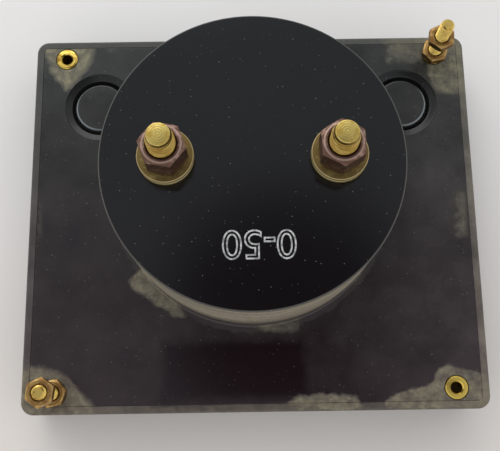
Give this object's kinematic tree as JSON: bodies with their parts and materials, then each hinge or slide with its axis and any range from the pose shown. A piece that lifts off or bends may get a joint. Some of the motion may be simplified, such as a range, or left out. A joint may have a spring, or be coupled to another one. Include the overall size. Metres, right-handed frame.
{
  "type": "panel ammeter",
  "caption": "Rectangular black panel ammeter with a round barrel on its back, brass terminal studs and mounting studs, and a sealed moving-coil movement behind a window.",
  "frame": {"origin": "middle of the cover's front face, in the plane that the meter lies on when it lies on its front", "axes": "+Z out of the back of the case along the terminal studs, +X right for someone who reads the dial, -Y towards the top of the dial"},
  "size_m": [0.118, 0.101, 0.0632],
  "materials": {
    "black_phenolic": "glossy moulded phenolic, dusty in the corners",
    "brass": "turned, lightly tarnished",
    "dark_brass": "tarnished purple-brown",
    "steel": "turned",
    "soft_iron": "machined",
    "magnet_steel": "cast, dark",
    "cast_zinc": "die cast, matte grey",
    "aluminium": "bare sheet",
    "white_enamel": "matte white with a printed scale",
    "black_enamel": "satin black",
    "glass": "clear",
    "cork": "matte cork sheet",
    "copper_wire": "enamelled fine wire",
    "manganin": "rolled strip",
    "cloth_wire": "woven sleeve"
  },
  "bodies": {
    "meter": {"base_screw_left": "steel", "base_screw_right": "steel", "bridge_screw_left": "steel", "bridge_screw_right": "steel", "core": "soft_iron", "core_spacer": "brass", "corner_insert_bottom_left": "brass", "corner_insert_bottom_right": "brass", "corner_insert_top_left": "brass", "corner_insert_top_right": "brass", "dial_plate": "white_enamel", "dial_screw_left": "steel", "dial_screw_right": "steel", "frame_screw_left": "steel", "frame_screw_right": "steel", "front_bridge": "brass", "front_cover": "black_phenolic", "jewel_screw_front": "brass", "jewel_screw_rear": "brass", "lead_left": "cloth_wire", "lead_right": "cloth_wire", "magnet": "magnet_steel", "mount_base_nut_bottom_right": "brass", "mount_base_nut_top_left": "brass", "mount_end_nut_bottom_right": "brass", "mount_end_nut_top_left": "brass", "mounting_stud_bottom_right": "brass", "mounting_stud_top_left": "brass", "movement_frame": "cast_zinc", "pointer_stop_full": "black_enamel", "pointer_stop_zero": "black_enamel", "pole_piece_left": "soft_iron", "pole_piece_right": "soft_iron", "rear_case": "black_phenolic", "seal_plug_left": "black_phenolic", "seal_plug_right": "black_phenolic", "shunt_block_left": "brass", "shunt_block_right": "brass", "shunt_strip": "manganin", "terminal_inner_washer_left": "brass", "terminal_inner_washer_right": "brass", "terminal_nut_left": "dark_brass", "terminal_nut_right": "dark_brass", "terminal_outer_washer_left": "brass", "terminal_outer_washer_right": "brass", "terminal_stud_left": "brass", "terminal_stud_right": "brass", "window_gasket": "cork", "window_glass": "glass"},
    "coil_and_pointer": {"coil_former": "aluminium", "coil_winding": "copper_wire", "hairspring_front": "brass", "hairspring_rear": "brass", "pointer": "black_enamel", "staff_front": "steel", "staff_rear": "steel"},
    "zero_adjuster": {"zero_screw": "black_enamel", "zero_screw_clip": "steel"},
    "zero_lever": {"zero_lever": "brass"}
  },
  "joints": [
    {"name": "pointer_turn", "type": "hinge", "parent": "meter", "child": "coil_and_pointer", "pos_m": [0, 0.014, 0.0087], "axis": [0, 0, 1], "range_deg": [-4, 94], "stiffness_Nm_per_rad": 0.0000125},
    {"name": "zero_adjust", "type": "hinge", "parent": "meter", "child": "zero_adjuster", "pos_m": [0, 0.0265, 0.001], "axis": [0, 0, 1], "range_deg": [-40, 40]},
    {"name": "zero_lever_swing", "type": "hinge", "parent": "meter", "child": "zero_lever", "pos_m": [0, 0.014, 0.0048], "axis": [0, 0, 1], "range_deg": [-5, 5]}
  ],
  "couplings": [
    {"joint": "zero_lever_swing", "follows": "zero_adjust", "ratio": 0.11348}
  ]
}
